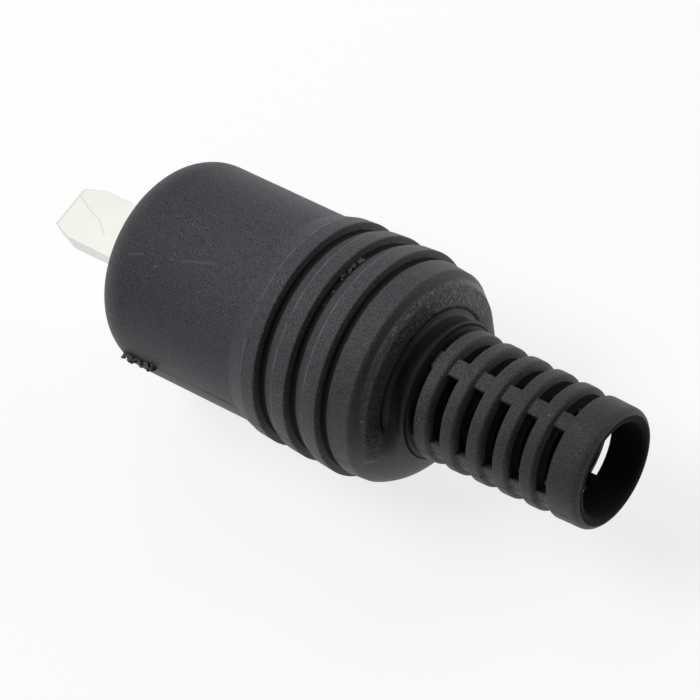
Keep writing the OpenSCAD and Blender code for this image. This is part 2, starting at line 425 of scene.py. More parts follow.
# %% Dome and scoop
shoulder_drop = 0.02
scoop_edge_round = 0.14
wall_run = 0.2
wall_foot_round = 0.25
cove_run = 0.9
cove_drop = 0.1
cove_round = 0.8
dome_chord = Vector((dome_end - band_end, collar_r - band_r))
dome_sink = math.sqrt(dome_round**2 - (dome_chord.length / 2) ** 2)
dome_side = Vector((-dome_chord.y, dome_chord.x)).normalized()
dome_centre = Vector(band_corner) + dome_chord / 2 - dome_side * dome_sink


def dome_angle(x, radius):
    """The angle of a point about the dome's centre, in degrees."""
    return math.degrees(math.atan2(radius - dome_centre.y, x - dome_centre.x))


dome_first = dome_angle(band_end, band_r)
dome_last = dome_angle(dome_end, collar_r)
scoop_edge_angle = math.degrees(math.acos((scoop_x - dome_centre.x) / dome_round))
scoop_edge = on_arc(dome_centre, dome_round, scoop_edge_angle)
shoulder = (shoulder_x, band_r - shoulder_drop)
scoop_corners = [
    band_corner,
    (*beside(shoulder, band_corner), 0),
    (*shoulder, 0),
    (*beside(shoulder, scoop_edge), 0),
    (*scoop_edge, scoop_edge_round),
    (scoop_x + wall_run, collar_r, wall_foot_round),
    (scoop_x + cove_run, collar_r - cove_drop, cove_round),
    (dome_end, collar_r),
]
scoop_points = with_rows(rounded(scoop_corners))
scoop_steps = [(there - here).length for here, there in zip(scoop_points, scoop_points[1:])]
dome_points = []
for number in range(len(scoop_points)):
    dome_part = dome_first + (dome_last - dome_first) * sum(scoop_steps[:number]) / sum(scoop_steps)
    dome_points.append(on_arc(dome_centre, dome_round, dome_part))
print("scoop and dome:", len(scoop_points), "points each")

# %% [markdown]
# The strain relief tapers to the mouth. It gets a row of points at each side of every slot, outside and
# in the bore, so that the slots can be cut out between them. The bore then widens into the cavity for
# the insert.

# %% Strain relief and mouth
mouth_run = 0.45
mouth_len = 1.2
mouth_round = 0.58
mouth_inner_round = 0.36
collar_round = 0.36
tab_drop = 0.28
slot_draft = 0.03
bore_draft = 0.24
slot_edge_round = 0.18
relief_ring_round = 0.22
ring_rear_run = 0.12
ring_top = relief_pitch - slot_len - ring_rear_run


def relief_outside(x):
    """Radius of the tapered strain relief."""
    mouth_corner = hood_end - mouth_run
    return relief_r + (mouth_r - relief_r) * (x - dome_end) / (mouth_corner - dome_end)


relief_corners = [(dome_end, collar_r), (slots_start, collar_r, collar_round)]
bore_points = []
for slot_start, slot_end in slots:
    floor_start = slot_start + slot_draft
    floor_end = slot_end - slot_draft
    relief_corners += [
        (floor_start, relief_outside(floor_start) - tab_drop, 0),
        (floor_end, relief_outside(floor_end) - tab_drop, 0),
        (slot_end, relief_outside(slot_end), slot_edge_round),
        (slot_end + ring_top, relief_outside(slot_end + ring_top), relief_ring_round),
    ]
    bore_loss = bore_draft * (slot_end - slot_start)
    bore_points += [Vector((slot_start + bore_loss, cable_r)), Vector((slot_end - bore_loss, cable_r))]
mouth_start = hood_end - mouth_len
relief_corners[-1] = (mouth_start, relief_outside(mouth_start))
relief_points = rounded(relief_corners)[1:]
bore_points.append(Vector((mouth_start, cable_r)))
mouth_corners = [
    relief_points[-1],
    (hood_end, mouth_r, mouth_round),
    (hood_end, cable_r, mouth_inner_round),
    bore_points[-1],
]
mouth_points = rounded(mouth_corners)[1:-1]
print("strain relief:", len(relief_points), "points outside and", len(bore_points), "in the bore")

# %% Inside and whole outlines
cavity_round = 0.4
rim_round = 0.08
inside_corners = [
    (slots_start, cable_r),
    (cavity_end, cable_r, cavity_round),
    (cavity_end - (cavity_r - cable_r), cavity_r, cavity_round),
    (seat_x, cavity_r, 0),
    (seat_x, opening_r, 0),
    (0, opening_r, rim_round),
    (0, rim_r),
]
inside_points = rounded(inside_corners)[1:]


def outline(rear):
    """The whole closed outline with a given rear, as points in the XY plane, in metres."""
    outside = front_points + with_rows(grip_points)[1:] + rear[1:] + relief_points
    inside = with_rows(bore_points[:1] + inside_points)[1:-1]
    points = outside + mouth_points + bore_points[::-1] + inside
    return [Vector((point.x, point.y, 0)) * mm for point in points]


upper_outline = outline(scoop_points)
lower_outline = outline(dome_points)
print("outlines:", len(upper_outline), "and", len(lower_outline), "points")

# %% [markdown]
# ## Turning the hood
# Each outline is drawn by extruding one vertex from point to point, as one would by hand with a single
# vertex, and Spin turns it half a turn about the plug's axis. The scoop doesn't end in a step on the
# real hood: its wall folds over into the dome. So each vertex there is moved to between its row of the
# scoop and its row of the dome, by its angle about the axis. On the far side the fold lies a little
# lower. The two halves then meet all along the parting plane, where they are joined and welded.

# %% Draw and turn the two halves
columns = 80
same_place = 1e-7


def draw(name, points):
    """A closed chain of edges through the points."""
    bpy.ops.object.select_all(action="DESELECT")
    bpy.ops.mesh.primitive_plane_add(size=mm)
    piece = bpy.context.object
    piece.name = name
    begin_edit()
    bpy.ops.mesh.merge(type="CENTER")
    bpy.ops.transform.translate(value=points[0])
    for here, there in zip(points, points[1:]):
        bpy.ops.mesh.extrude_vertices_move(TRANSFORM_OT_translate={"value": there - here})
    ends = (points[0], points[-1])
    choose("VERT", lambda vertex: min((vertex.co - end).length for end in ends) < same_place)
    bpy.ops.mesh.edge_face_add()
    end_edit()
    return piece


def turn_half(piece, angle):
    """Turns a drawn outline about the plug's axis, and prints which half it fills."""
    begin_edit()
    bpy.ops.mesh.select_all(action="SELECT")
    bpy.ops.mesh.spin(steps=columns, angle=angle, center=(0, 0, 0), axis=(1, 0, 0))
    end_edit()
    heights = [vertex.co.z for vertex in piece.data.vertices]
    print(piece.name, "spans z", round(min(heights) / mm, 2), "to", round(max(heights) / mm, 2), "mm")


hood = draw("hood_moulding", upper_outline)
turn_half(hood, -math.pi)
lower_half = draw("lower_half", lower_outline)
turn_half(lower_half, math.pi)

# %% Fold between scoop and dome
near_fold = (0, 26)  # degrees above the parting plane, from all dome to all scoop
far_fold = (-25, 10)
bore_clearance = 1


def dome_share(place):
    """How much a place follows the dome, from 1 below its side's fold to 0 above it."""
    angle = math.degrees(math.atan2(place.z, abs(place.y)))
    low, high = near_fold if place.y < 0 else far_fold
    risen = min(max((angle - low) / (high - low), 0), 1)
    return 1 - risen * risen * (3 - 2 * risen)


def in_rear(place):
    """True for a point on the dome or the scoop."""
    return band_end < place.x / mm < dome_end and radius_of(place) / mm > cable_r + bore_clearance


def into_fold(place, rows):
    """The way from a place on one of the rows to its place in the fold."""
    section = Vector((place.x, radius_of(place))) / mm
    number = min(range(len(rows)), key=lambda row: (rows[row] - section).length)
    folded = scoop_points[number].lerp(dome_points[number], dome_share(place)) * mm
    return Vector((folded.x, 0, 0)) + folded.y * outward(place) - place


for piece, rows in ((hood, scoop_points), (lower_half, dome_points)):
    bpy.context.view_layer.objects.active = piece
    begin_edit()
    nudge(in_rear, lambda place: into_fold(place, rows))
    end_edit()
print("folded", len(scoop_points), "rows between", near_fold, "and", far_fold, "degrees")

# %% Join the halves
weld_gap = 0.002 * mm
pick(lower_half, hood)
bpy.ops.object.join()
begin_edit()
bpy.ops.mesh.select_all(action="SELECT")
bpy.ops.mesh.remove_doubles(threshold=weld_gap)
open_edges = choose("EDGE", lambda edge: edge.is_boundary)
bpy.ops.mesh.select_all(action="SELECT")
bpy.ops.mesh.normals_make_consistent(inside=False)
end_edit()
print("hood:", len(hood.data.polygons), "faces and", open_edges, "open edges")

# %% [markdown]
# ## Slots of the strain relief
# The slots let the relief bend with the cable. Each round has four of them, between narrow tabs at the
# top and bottom and broader bridges along the parting plane. A Boolean could cut them, but would break
# up the rows of faces. So the faces over a slot are deleted outside and in the bore, and the two open
# loops are bridged, which makes the slot's walls. Bevel then rounds the edges of the tabs and bridges.

# %% Cut the slots
tab_half_angle = 9
bridge_half_angle = 13.5
slot_margin = 0.15
wall_cuts = 5
quarters = ((1, 1), (1, -1), (-1, 1), (-1, -1))


def in_slot(place):
    """True for a point over a slot, outside or in the bore."""
    angle = math.degrees(math.atan2(abs(place.z), abs(place.y)))
    x = place.x / mm
    over_slot = any(start + slot_margin < x < end - slot_margin for start, end in slots)
    return over_slot and bridge_half_angle < angle < 90 - tab_half_angle


def slot_rim(edge, slot, side_y, side_z):
    """True for an open edge of one slot of a round."""
    place = middle(edge)
    inside = slot[0] - slot_margin < place.x / mm < slot[1] + slot_margin
    return edge.is_boundary and inside and place.y * side_y > 0 and place.z * side_z > 0


begin_edit()
choose("FACE", lambda face: in_slot(middle(face)))
bpy.ops.mesh.delete(type="FACE")
for slot in slots:
    for side_y, side_z in quarters:
        choose("EDGE", lambda edge: slot_rim(edge, slot, side_y, side_z))
        bpy.ops.mesh.bridge_edge_loops(number_cuts=wall_cuts)
bpy.ops.mesh.select_all(action="SELECT")
bpy.ops.mesh.normals_make_consistent(inside=False)
print("slots cut:", len(quarters) * len(slots))

# %% Round the edges of tabs and bridges
tab_edge_round = 0.08
tab_edge_angle = math.radians(50)
least_tab_len = 0.3
relief_from = slots_start - slot_margin
relief_to = slots[-1][1] + slot_margin


def tab_edge(edge):
    """True for the long edges of the tabs and bridges, outside and in the bore."""
    along_axis = abs(edge.verts[0].co.x - edge.verts[1].co.x) > least_tab_len * mm
    sharp = edge.calc_face_angle(0) > tab_edge_angle
    return along_axis and sharp and relief_from < middle(edge).x / mm < relief_to


rounded_edges = choose("EDGE", tab_edge)
bpy.ops.mesh.bevel(offset=tab_edge_round * mm, offset_type="OFFSET", segments=3, affect="EDGES")
end_edit()
print("rounded", rounded_edges, "edges of the tabs and bridges")

# %% [markdown]
# ## Marks of the mould
# The two halves of the mould leave a fine line along both sides. It could be painted, but a real line
# catches the light. So the edges in the parting plane are bevelled into a narrow strip, and its middle
# is pressed in.

# %% Parting line
parting_half = 0.05
parting_depth = 0.05
dome_margin = 0.1
mouth_margin = 0.6
bore_margin = 0.5


def on_outside(place):
    """True for a point on the hood's outer skin, apart from the dome and the mouth's rounding."""
    x = place.x / mm
    radius = radius_of(place) / mm
    front = x < band_end - dome_margin and radius > rim_r
    return front or (slots_start < x < hood_end - mouth_margin and radius > cable_r + bore_margin)


def on_parting(edge):
    """True for an edge of the outer skin in the parting plane."""
    flat = max(abs(vertex.co.z) for vertex in edge.verts) < weld_gap
    return flat and on_outside(middle(edge))


begin_edit()
parting_edges = choose("EDGE", on_parting)
bpy.ops.mesh.bevel(offset=parting_half * mm, offset_type="OFFSET", segments=2, affect="EDGES")
nudge(
    lambda place: abs(place.z) < weld_gap and on_outside(place),
    lambda place: -parting_depth * mm * outward(place),
)
end_edit()
print("parting line:", parting_edges, "edges")

# %% Smooth shading of the hood
smooth_angle = math.radians(38)
pick(hood)
bpy.ops.object.shade_smooth_by_angle(angle=smooth_angle)
print("hood:", len(hood.data.polygons), "faces")

# %% [markdown]
# ## Solids to build from
# The metal pieces and the insert are put together from blocks and rods, as they would be sawn and
# drilled. Boolean modifiers join or cut them, and a Bevel modifier breaks the edges, as tumbling does to
# stamped parts.

# %% Helpers for blocks and rods
edge_angle = math.radians(40)
tool_past = 1  # how far a cutting tool stands out of what it cuts


def block(name, low, high):
    """A box between two corners, in millimetres, with its place in its mesh."""
    low, high = Vector(low), Vector(high)
    bpy.ops.object.select_all(action="DESELECT")
    bpy.ops.mesh.primitive_cube_add(size=1, location=(low + high) / 2 * mm, scale=(high - low) * mm)
    bpy.context.object.name = name
    bpy.ops.object.transform_apply(location=True, rotation=True, scale=True)
    return bpy.context.object


def rod(name, start, end, radius, sides=48):
    """A round bar between two points, in millimetres, with its place in its mesh."""
    start, end = Vector(start), Vector(end)
    bpy.ops.object.select_all(action="DESELECT")
    bpy.ops.mesh.primitive_cylinder_add(
        vertices=sides,
        radius=radius * mm,
        depth=(end - start).length * mm,
        location=(start + end) / 2 * mm,
        rotation=(end - start).to_track_quat("Z", "Y").to_euler(),
    )
    bpy.context.object.name = name
    bpy.ops.object.transform_apply(location=True, rotation=True, scale=True)
    return bpy.context.object


def combine(piece, tool, operation):
    """Joins a tool to a piece, UNION, or cuts it out, DIFFERENCE, and removes the tool."""
    modifier = piece.modifiers.new("combine", "BOOLEAN")
    modifier.operation = operation
    modifier.object = tool
    bpy.context.view_layer.objects.active = piece
    bpy.ops.object.modifier_apply(modifier=modifier.name)
    bpy.data.objects.remove(tool)


def break_edges(piece, width):
    """Rounds a piece's sharp edges and shades it smoothly."""
    modifier = piece.modifiers.new("broken_edges", "BEVEL")
    modifier.width = width * mm
    modifier.segments = 3
    modifier.limit_method = "ANGLE"
    modifier.angle_limit = edge_angle
    pick(piece)
    bpy.ops.object.modifier_apply(modifier=modifier.name)
    bpy.ops.object.shade_smooth_by_angle(angle=smooth_angle)
    print(piece.name, "has", len(piece.data.polygons), "faces")


def ready(piece, body, node):
    """Puts a finished piece on its body, in the place of its solid."""
    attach(piece, body)
    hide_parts(node)


ready(hood, "hood", "hood")

# %% [markdown]
# ## The blade
# The blade is a flat bar with a narrowed nose. A block is drawn out at its front by extruding the end
# face twice, first to the bevel and then to the tip, and scaling it each time, as a smith would draw out
# a bar. Behind the insert it carries a terminal block, drilled from behind for the wire and from the
# side for its screw.

# %% Blade and its terminal
blade_w = 4.5
blade_t = 1.3
blade_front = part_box("blade_contact")[0].x / mm
terminal_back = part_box("blade_contact")[1].x / mm
nose_len = 1.9
tip_w = 3.2
tip_bevel = 0.3
tip_t = 0.8
terminal_half = 1.65
into_terminal = 0.5
wire_r = 0.9
wire_depth = 5.4
screw_x = terminal_back - wire_depth / 2
screw_hole_r = 1.05
blade_wire_z = 1.0
pin_wire_z = -3.3
facing = 0.9  # least share of an end face's normal along the axis


def draw_out(distance, width, thickness):
    """Extrudes the chosen end face forward and scales it about the blade's middle."""
    bpy.ops.mesh.extrude_region_move(TRANSFORM_OT_translate={"value": (-distance * mm, 0, 0)})
    bpy.ops.transform.resize(value=(1, width, thickness), center_override=(0, 0, 0))


def add_terminal(contact, z):
    """Joins a drilled terminal block to a contact at a height z."""
    low = (seat_x, -terminal_half, z - terminal_half)
    high = (terminal_back, terminal_half, z + terminal_half)
    combine(contact, block("terminal", low, high), "UNION")
    hole_start = (terminal_back - wire_depth, 0, z)
    combine(contact, rod("wire_hole", hole_start, (terminal_back + tool_past, 0, z), wire_r), "DIFFERENCE")
    screw_hole = rod("screw_hole", (screw_x, 0, z), (screw_x, 2 * terminal_half, z), screw_hole_r)
    combine(contact, screw_hole, "DIFFERENCE")


nose_start = blade_front + nose_len
bevel_start = blade_front + tip_bevel
bevel_w = tip_w + (blade_w - tip_w) * tip_bevel / nose_len
blade_end = seat_x + into_terminal
blade = block("blade", (nose_start, -blade_w / 2, -blade_t / 2), (blade_end, blade_w / 2, blade_t / 2))
begin_edit()
choose("FACE", lambda face: face.normal.x < -facing)
draw_out(nose_len - tip_bevel, bevel_w / blade_w, 1)
draw_out(tip_bevel, tip_w / bevel_w, tip_t / blade_t)
end_edit()
add_terminal(blade, blade_wire_z)
break_edges(blade, width=0.09)
ready(blade, "core", "blade_contact")

# %% [markdown]
# ## The round pin
# The pin is a bar whose front edge is bevelled so far that it becomes a dome. At its back the end face
# is inset and extruded into the thinner stem, which passes through the insert to the pin's own terminal
# block. A sphere could give the dome, but would have to be joined on.

# %% Pin and its terminal
pin_r = 1.2
pin_z = -4.6
pin_doming = 0.97  # share of the end's radius that the bevel takes
stem_r = 0.9
pin_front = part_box("pin_contact")[0].x / mm
face_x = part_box("insert")[0].x / mm
stem_len = seat_x + into_terminal - face_x
pin = rod("round_pin", (pin_front, 0, pin_z), (face_x, 0, pin_z), pin_r)
begin_edit()
choose("FACE", lambda face: face.normal.x < -facing)
bpy.ops.mesh.bevel(offset=pin_doming * pin_r * mm, segments=10, affect="EDGES")
choose("FACE", lambda face: face.normal.x > facing)
bpy.ops.mesh.inset(thickness=(pin_r - stem_r) * mm)
bpy.ops.mesh.extrude_region_move(TRANSFORM_OT_translate={"value": (stem_len * mm, 0, 0)})
end_edit()
add_terminal(pin, pin_wire_z)
break_edges(pin, width=0.07)
ready(pin, "core", "pin_contact")

# %% [markdown]
# ## The terminal screws
# A cheese-head screw clamps each wire. Its head is a short rod with broken edges and a sawn slot, and
# its shank is left plain, because the terminal block hides its thread.

# %% Terminal screw
screw_head_r = 1.3
screw_head_low = 2.15
screw_head_top = 2.95
screw_end = 0.9
shank_r = 1.0
into_head = 0.1
driver_slot_half = 0.25
driver_slot_depth = 0.4


def screw_at(name, z):
    """A slotted screw along +Y at a height z."""
    head = rod(name, (screw_x, screw_head_low, z), (screw_x, screw_head_top, z), screw_head_r)
    low = (screw_x - 2 * screw_head_r, screw_head_top - driver_slot_depth, z - driver_slot_half)
    high = (screw_x + 2 * screw_head_r, screw_head_top + tool_past, z + driver_slot_half)
    combine(head, block("driver_slot", low, high), "DIFFERENCE")
    shank = rod("shank", (screw_x, screw_end, z), (screw_x, screw_head_low + into_head, z), shank_r)
    combine(head, shank, "UNION")
    break_edges(head, width=0.1)
    return head


blade_screw = screw_at("blade_terminal_screw", blade_wire_z)
ready(blade_screw, "blade_screw", "blade_screw")
pin_screw = screw_at("pin_terminal_screw", pin_wire_z)
ready(pin_screw, "pin_screw", "pin_screw")

# %% [markdown]
# ## The insert
# The insert is a black disc that fills the hood's opening, with a divider that keeps the two wires
# apart. The holes for the contacts are cut a hair larger than the metal, so that a fine dark seam shows
# around it.

# %% Insert
insert_r = 6.05
divider_low = -1.45
divider_high = -0.85
divider_half = 5.36
divider_root = 1  # how far the divider reaches into the disc
divider_start = seat_x - divider_root
divider_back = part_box("insert")[1].x / mm
seam = 0.02
hole_start = face_x - tool_past
hole_w = blade_w / 2 + seam
hole_t = blade_t / 2 + seam
insert = rod("insert_disc", (face_x, 0, 0), (seat_x, 0, 0), insert_r, sides=96)
divider_front = (divider_start, -divider_half, divider_low)
divider = block("divider", divider_front, (divider_back, divider_half, divider_high))
combine(insert, divider, "UNION")
blade_hole = block("blade_hole", (hole_start, -hole_w, -hole_t), (seat_x, hole_w, hole_t))
combine(insert, blade_hole, "DIFFERENCE")
stem_hole = rod("stem_hole", (hole_start, 0, pin_z), (seat_x, 0, pin_z), stem_r + seam)
combine(insert, stem_hole, "DIFFERENCE")
break_edges(insert, width=0.12)
ready(insert, "core", "insert")

# %% [markdown]
# ## Shared effects
# Moulded plastic and plated metal both show fine grain, soft blotches, a few scratches and single marks.
# Each is a node group that reads the piece's own coordinates, so that every finish can use it at its own
# size and strength. Pictures could do this too, but noise needs no unwrapping and has no seams.

# %% Helpers for finishes
def use_group(tree, group, **inputs):
    """The outputs of a node group, placed in a tree."""
    return add_node(tree, "ShaderNodeGroup", inputs, node_tree=group).outputs


def blend(tree, factor, first, second):
    """A colour between two, by a factor."""
    mix = add_node(tree, "ShaderNodeMix", {0: factor, 6: first, 7: second}, data_type="RGBA")
    return mix.outputs[2]


def spread(tree, value, low, high):
    """A value from 0 to 1, spread between low and high."""
    return math_node(tree, "MULTIPLY_ADD", value, high - low, low)


def between(tree, value, start, end):
    """A mask that goes from 0 where a value is at its start to 1 where it is at its end."""
    steepness = 1 / (end - start)
    return math_node(tree, "MULTIPLY_ADD", value, steepness, -start * steepness, clamp=True)


def product(tree, first, *others):
    """All values multiplied together."""
    result = first
    for value in others:
        result = math_node(tree, "MULTIPLY", result, value)
    return result


def new_finish(name):
    """A new material, its tree, its output node and the piece's own coordinates."""
    material, tree, output = new_material(name)
    return material, tree, output, add_node(tree, "ShaderNodeTexCoord").outputs["Object"]


def end_finish(tree, output, height, inputs):
    """Ends a finish with its relief, of a height in millimetres, and its shader."""
    relief = add_node(tree, "ShaderNodeBump", {"Strength": 1.0, "Distance": mm, "Height": height})
    surface = add_node(tree, "ShaderNodeBsdfPrincipled", {**inputs, "Normal": relief.outputs[0]})
    tree.links.new(surface.outputs[0], output.inputs["Surface"])


print("helpers for finishes are ready")

# %% Grain and blotches
broad_share = 0.09
grain_group, given, result = new_group("surface_grain", ["Fineness"], ["Grain", "Blotch"])
fine = add_node(
    grain_group,
    "ShaderNodeTexNoise",
    {"Vector": given["Vector"], "Scale": given["Fineness"], "Detail": 3.0, "Roughness": 0.65},
)
broad_scale = product(grain_group, given["Fineness"], broad_share)
broad = add_node(
    grain_group,
    "ShaderNodeTexNoise",
    {"Vector": given["Vector"], "Scale": broad_scale, "Detail": 4.0, "Roughness": 0.55},
)
grain_group.links.new(fine.outputs["Fac"], result["Grain"])
grain_group.links.new(broad.outputs["Fac"], result["Blotch"])
print("node group:", grain_group.name)

# %% Scratches
scratch_sharpness = 12.0
scratch_group, given, result = new_group("scratches", ["Fineness", "Amount"], ["Mask"])
stretch = add_node(
    scratch_group,
    "ShaderNodeMapping",
    {"Vector": given["Vector"], "Rotation": (0.3, 0.2, 0.5), "Scale": (0.06, 1.0, 1.0)},
)
streak = add_node(
    scratch_group,
    "ShaderNodeTexNoise",
    {"Vector": stretch.outputs[0], "Scale": given["Fineness"], "Detail": 2.0, "Roughness": 0.5},
)
threshold = math_node(scratch_group, "SUBTRACT", 1.0, given["Amount"])
above = math_node(scratch_group, "SUBTRACT", streak.outputs["Fac"], threshold)
scratch_mask = math_node(scratch_group, "MULTIPLY", above, scratch_sharpness, clamp=True)
scratch_group.links.new(scratch_mask, result["Mask"])
print("node group:", scratch_group.name)

# %% Zone along the axis
zone_group, given, result = new_group("zone_along_axis", ["From", "To", "Soft"], ["Mask"])
axis_place = add_node(zone_group, "ShaderNodeSeparateXYZ", {"Vector": given["Vector"]}).outputs["X"]
past_start = math_node(zone_group, "SUBTRACT", axis_place, given["From"])
before_end = math_node(zone_group, "SUBTRACT", given["To"], axis_place)
edges = []
for distance in (past_start, before_end):
    soft_steps = math_node(zone_group, "DIVIDE", distance, given["Soft"])
    edges.append(math_node(zone_group, "ADD", soft_steps, 0.5, clamp=True))
zone_group.links.new(product(zone_group, *edges), result["Mask"])
print("node group:", zone_group.name)

# %% Mark between two points
mark_group, given, result = new_group("mark_between", ["Width"], ["Mask"], places=["Start", "End"])
whole = vector_node(mark_group, "SUBTRACT", {0: given["End"], 1: given["Start"]})
part = vector_node(mark_group, "SUBTRACT", {0: given["Vector"], 1: given["Start"]})
reached = vector_node(mark_group, "DOT_PRODUCT", {0: part, 1: whole}, result="Value")
longest = vector_node(mark_group, "DOT_PRODUCT", {0: whole, 1: whole}, result="Value")
share = math_node(mark_group, "DIVIDE", reached, longest, clamp=True)
nearest = vector_node(mark_group, "SCALE", {0: whole, "Scale": share})
gap = vector_node(mark_group, "DISTANCE", {0: part, 1: nearest}, result="Value")
fade = math_node(mark_group, "DIVIDE", gap, given["Width"])
mark_group.links.new(math_node(mark_group, "SUBTRACT", 1.0, fade, clamp=True), result["Mask"])


def mark(tree, place, start, end, half_width):
    """A mask for a line that fades to its sides, between two points in millimetres."""
    made = use_group(tree, mark_group, Vector=place, Start=start * mm, End=end * mm, Width=half_width * mm)
    return made["Mask"]


print("node group:", mark_group.name)

# %% [markdown]
# ## Where the hood differs
# One moulding, but not one finish. The skin is painted lighter in the middle and darker towards both
# ends, a painted highlight along the axis, and its violet tint fades from the grip onwards. The grooves,
# the scoop and the cove at its foot are painted darker, as painted shade, the scoop less so on its far
# side, where painted light lifts it. The scoop's wall is coarse, because that face of the mould was left
# rough. The front rim is paler, and the crests of the rings and the ridge over the wall carry painted
# highlights. Each is a mask between 0 and 1: a zone along the axis, limited in height or radius where
# that is needed. Painted masks would do as well, but these follow the sizes above.

# %% Where the masks lie
# painted highlight along the axis: lighter in the middle of the hood, painted shade towards both ends
highlight_reach = (8, 29)
highlight_soft = 14
grip_reach = (plain_len + 1, 60)
grip_soft = 4
# painted shade in the grooves of the grip
groove_reach = (plain_len + 1.5, plain_len + ring_count * ring_pitch + groove_floor + groove_slope)
groove_soft = 0.1
groove_depths = (body_r - 0.08, body_r - 0.18)
# paler at the front rim; painted highlights along the crests of the rings
rim_reach = (0, 0)
rim_soft = 1
crest_half = 0.06
# painted shade in the scoop and the cove at its foot
scoop_reach = (shoulder_x + 0.1, slots_start + 0.2)
scoop_soft = 0.25
scoop_heights = (0.5, 2.5)
# painted light on the scoop's far side, which lessens its painted shade
far_side_reach = 5
far_side_light = 0.6
cove_reach = (scoop_x + 0.3, slots_start + 0.1)
cove_soft = 0.3
wall_reach = (scoop_x - 0.3, scoop_x + 0.3)
wall_soft = 0.3
wall_radii = (collar_r + 0.4, collar_r + 0.65)
upper_heights = (0, 0.25)
# painted highlight along the ridge over the wall
ridge_reach = (scoop_x - 0.14, scoop_x + 0.1)
ridge_soft = 0.1
ridge_radii = (6.75, 6.875)
print("the scoop's masks reach from x", scoop_reach[0], "to", scoop_reach[1], "mm")

# %% Masks of the hood
mask_names = ["Painted_Highlight", "Grip", "Groove", "Crest_Highlight", "Scoop", "Cove", "Wall", "Ridge_Highlight"]
area_group, given, result = new_group("areas_of_hood", [], mask_names)
axes = add_node(area_group, "ShaderNodeSeparateXYZ", {"Vector": given["Vector"]}).outputs
across = add_node(area_group, "ShaderNodeCombineXYZ", {"Y": axes["Y"], "Z": axes["Z"]}).outputs[0]
radius = vector_node(area_group, "LENGTH", {0: across}, result="Value")


def zone(reach, soft):
    """A mask along the plug's axis, in millimetres."""
    limits = {"From": reach[0] * mm, "To": reach[1] * mm, "Soft": soft * mm}
    return use_group(area_group, zone_group, Vector=given["Vector"], **limits)["Mask"]


def limit(value, ends):
    """A mask that rises from 0 at the first to 1 at the second of two ends, in millimetres."""
    return between(area_group, value, ends[0] * mm, ends[1] * mm)


upper_half = limit(axes["Z"], upper_heights)
scooped = limit(axes["Z"], scoop_heights)
far_side = limit(axes["Y"], (0, far_side_reach))
# painted shade in the scoop, lessened by painted light on its far side
scoop_painted_shade = math_node(area_group, "MULTIPLY_ADD", far_side, -far_side_light, scooped, clamp=True)
# paler at the front rim, with painted highlights along the crests
crests = zone(rim_reach, rim_soft)
for number in range(1, ring_count + 1):
    crest_x = plain_len + number * ring_pitch - groove_slope - ring_top_len
    crest = zone((crest_x - crest_half, crest_x + crest_half), crest_half)
    crests = math_node(area_group, "MAXIMUM", crests, crest)
masks = {
    "Painted_Highlight": zone(highlight_reach, highlight_soft),
    "Grip": zone(grip_reach, grip_soft),
    "Groove": product(area_group, zone(groove_reach, groove_soft), limit(radius, groove_depths)),
    "Crest_Highlight": crests,
    "Scoop": product(area_group, zone(scoop_reach, scoop_soft), scoop_painted_shade),
    "Cove": product(area_group, zone(cove_reach, cove_soft), scooped),
    "Wall": product(area_group, zone(wall_reach, wall_soft), upper_half, limit(radius, wall_radii)),
    "Ridge_Highlight": product(area_group, zone(ridge_reach, ridge_soft), limit(radius, ridge_radii), upper_half),
}
for name, mask in masks.items():
    area_group.links.new(mask, result[name])
print("masks of the hood:", mask_names)

# %% [markdown]
# ## Satin charcoal plastic
# The hood is a soft, satin moulding. Its colour is a faintly violet charcoal with a speckle a tenth of a
# millimetre fine, which also roughens and dents the skin. The masks paint shade and highlights into it. A
# short split in the near parting line is only painted shade, a dark mark, because it is too narrow to
# look into.

# %% Colours of the hood's skin
black = (0, 0, 0, 1)
violet_dark = (0.028, 0.027, 0.035, 1)
violet_light = (0.152, 0.147, 0.180, 1)
neutral_dark = (0.027, 0.027, 0.030, 1)
neutral_light = (0.147, 0.147, 0.163, 1)
# painted shade at both ends of the hood
painted_end_shade = 0.62
speckle_levels = (0.4, 0.6)
# painted shade: how dark the scoop, the cove and the grooves are painted at their darkest
painted_shades = {"Scoop": 0.27, "Cove": 0.2, "Groove": 0.15}
# painted shade in a short split of the near parting line
split_ends = (Vector((9.8, -body_r, 0)), Vector((11.8, -body_r, 0)))
split_half = 0.45
split_shade = 0.1
hood_plastic, tree, output, place = new_finish("charcoal_plastic")
area = use_group(tree, area_group, Vector=place)
grain = use_group(tree, grain_group, Vector=place, Fineness=12000.0)
speckle = between(tree, grain["Grain"], *speckle_levels)
dark_speck = blend(tree, area["Grip"], violet_dark, neutral_dark)
light_speck = blend(tree, area["Grip"], violet_light, neutral_light)
charcoal = blend(tree, speckle, dark_speck, light_speck)
# painted highlight in the middle of the hood, painted shade at its ends and in the scoop, cove and grooves
shade = spread(tree, area["Painted_Highlight"], painted_end_shade, 1.0)
for name, darkest in painted_shades.items():
    shade = product(tree, shade, spread(tree, area[name], 1.0, darkest))
# painted shade of the split
split = mark(tree, place, *split_ends, split_half)
shade = product(tree, shade, spread(tree, split, 1.0, split_shade))
shaded = blend(tree, shade, black, charcoal)
print("charcoal is shaded by", ["Painted_Highlight", *painted_shades], "and by the split")

# %% [markdown]
# Pale places on the dark skin: fine scratches and two scuffs left by use, flecks of dust, painted
# highlights along the crests and the ridge, and specks on the coarse wall, more of them on its far side
# as a painted highlight there. The palest of them counts at each point, so that they don't add up to
# white where they cross.

# %% Worn and dusty places, and painted highlights
wear_and_highlight_grey = (0.24, 0.235, 0.26, 1)
scratch_light = 0.15
